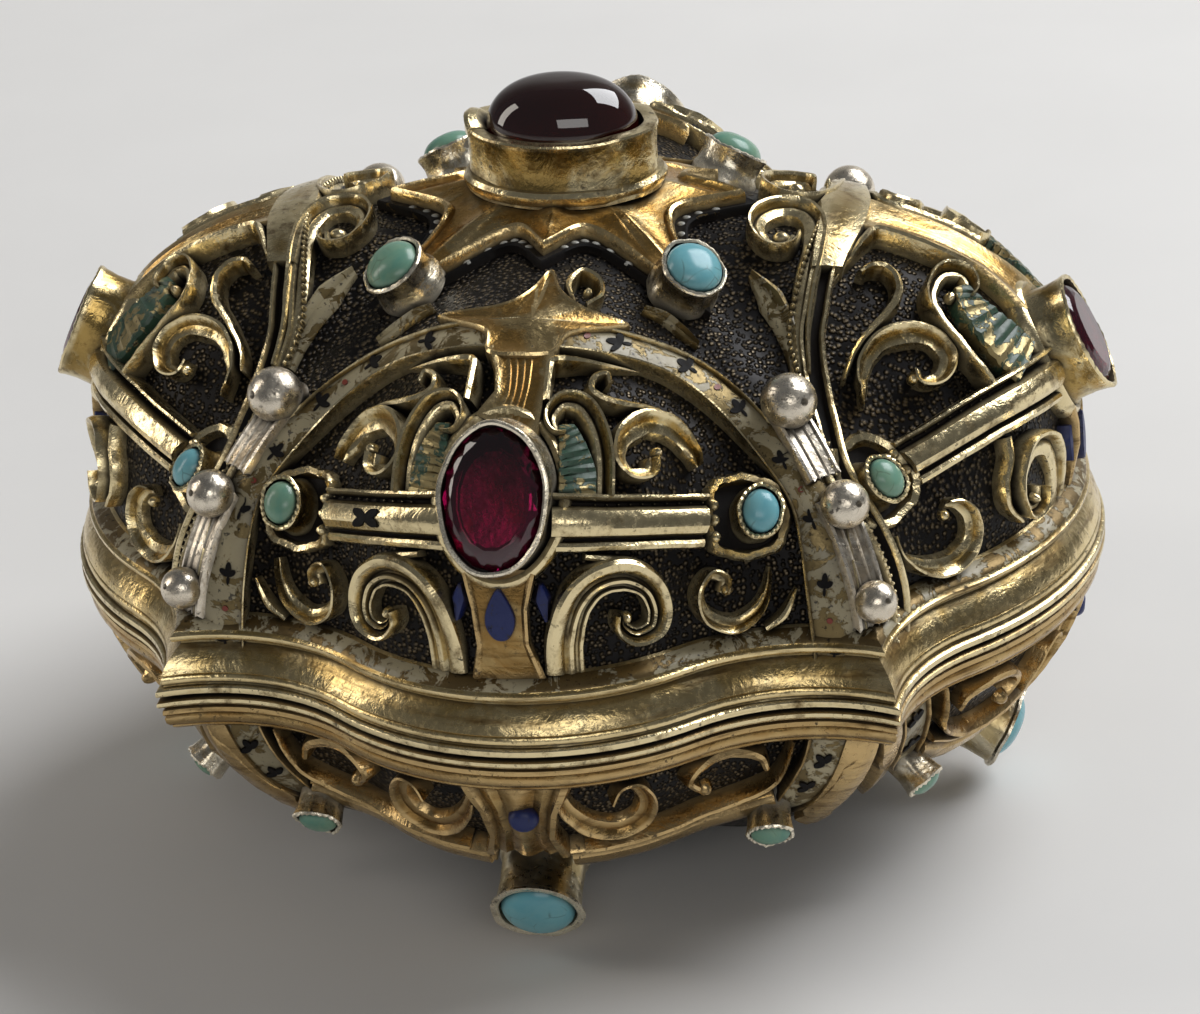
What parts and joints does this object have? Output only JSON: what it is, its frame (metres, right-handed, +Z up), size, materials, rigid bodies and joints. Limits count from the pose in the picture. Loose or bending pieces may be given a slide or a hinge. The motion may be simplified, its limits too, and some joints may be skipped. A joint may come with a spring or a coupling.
{
  "type": "jewelled box",
  "caption": "Four-lobed silver-gilt box with a hinged domed lid, enamelled arches, scroll straps, garnets and turquoises in collets.",
  "frame": {"origin": "centre of the underside of the foot", "axes": "+Z up, -Y towards the front lobe, +Y towards the hinge, +X to the viewer's right"},
  "size_m": [0.076, 0.0731, 0.0541],
  "materials": {
    "gilt_silver": "worn gilding",
    "silver": "polished, tarnished in the hollows",
    "oxidised_ground": "punched and blackened",
    "cream_enamel": "worn opaque enamel",
    "garnet": "polished",
    "turquoise": "polished, opaque"
  },
  "bodies": {
    "base": {"base_shell": "oxidised_ground", "base_rim": "gilt_silver", "locating_flange": "gilt_silver", "foot_plate": "gilt_silver", "base_strapwork_front": "gilt_silver", "base_turquoise_front": "turquoise", "base_turquoise_front_left": "turquoise", "base_turquoise_front_right": "turquoise", "base_strapwork_right": "gilt_silver", "base_turquoise_right": "turquoise", "base_turquoise_right_left": "turquoise", "base_turquoise_right_right": "turquoise", "base_strapwork_back": "gilt_silver", "base_turquoise_back": "turquoise", "base_turquoise_back_left": "turquoise", "base_turquoise_back_right": "turquoise", "base_strapwork_left": "gilt_silver", "base_turquoise_left": "turquoise", "base_turquoise_left_left": "turquoise", "base_turquoise_left_right": "turquoise", "base_hinge_leaf": "gilt_silver", "hinge_pin": "silver"},
    "lid": {"lid_shell": "oxidised_ground", "lid_rim": "gilt_silver", "crown_mount": "gilt_silver", "crown_collet": "gilt_silver", "crown_garnet": "garnet", "crown_turquoise_front_right": "turquoise", "crown_turquoise_back_right": "turquoise", "crown_turquoise_back_left": "turquoise", "crown_turquoise_front_left": "turquoise", "corner_rib_front_right": "silver", "corner_rib_back_right": "silver", "corner_rib_back_left": "silver", "corner_rib_front_left": "silver", "arch_band_front": "cream_enamel", "lid_strapwork_front": "gilt_silver", "garnet_collet_front": "silver", "garnet_front": "garnet", "lid_turquoise_front_left": "turquoise", "lid_turquoise_front_right": "turquoise", "arch_band_right": "cream_enamel", "lid_strapwork_right": "gilt_silver", "garnet_collet_right": "silver", "garnet_right": "garnet", "lid_turquoise_right_left": "turquoise", "lid_turquoise_right_right": "turquoise", "arch_band_back": "cream_enamel", "lid_strapwork_back": "gilt_silver", "garnet_collet_back": "silver", "garnet_back": "garnet", "lid_turquoise_back_left": "turquoise", "lid_turquoise_back_right": "turquoise", "arch_band_left": "cream_enamel", "lid_strapwork_left": "gilt_silver", "garnet_collet_left": "silver", "garnet_left": "garnet", "lid_turquoise_left_left": "turquoise", "lid_turquoise_left_right": "turquoise", "lid_hinge_leaf": "gilt_silver"}
  },
  "joints": [
    {"name": "lid_hinge", "type": "hinge", "parent": "base", "child": "lid", "pos_m": [0, 0.0366, 0.0196], "axis": [-1, 0, 0], "range_deg": [0, 100]}
  ]
}
